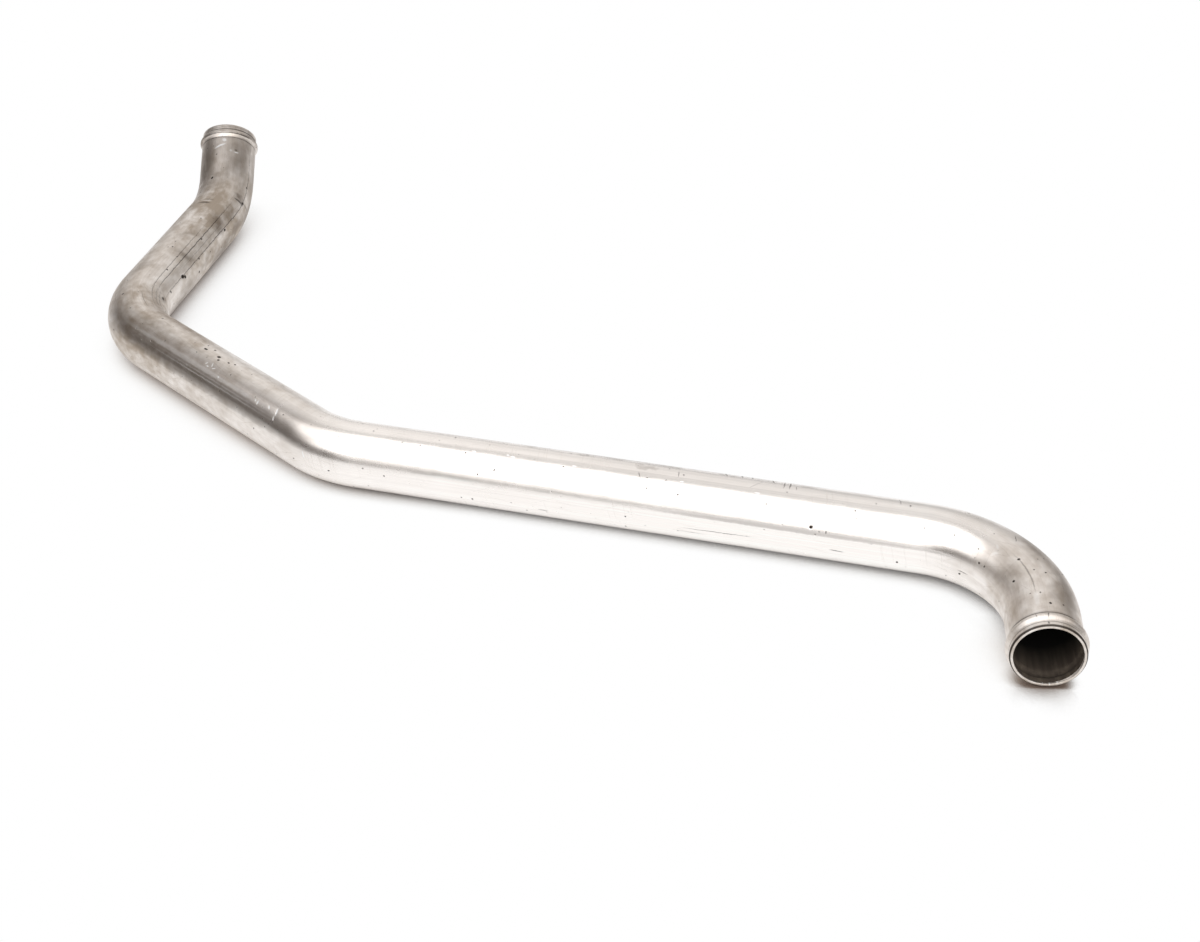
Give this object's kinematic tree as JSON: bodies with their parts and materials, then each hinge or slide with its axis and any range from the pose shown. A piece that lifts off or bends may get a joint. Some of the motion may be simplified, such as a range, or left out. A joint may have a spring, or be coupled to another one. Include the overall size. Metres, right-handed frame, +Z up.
{
  "type": "water pipe",
  "caption": "Bent round aluminium coolant pipe with a rolled hose bead near each open end.",
  "frame": {"origin": "on the floor below the middle of the pipe's box, as it lies at rest", "axes": "+X along the long run, towards the front mouth; +Y from the front mouth's side towards the rear mouth; +Z up"},
  "size_m": [1.0523, 0.6798, 0.106],
  "materials": {
    "drawn_aluminium": "dull mill finish, smooth drawn tube with handling marks"
  },
  "bodies": {
    "root": {"water_pipe": "drawn_aluminium"}
  },
  "joints": []
}
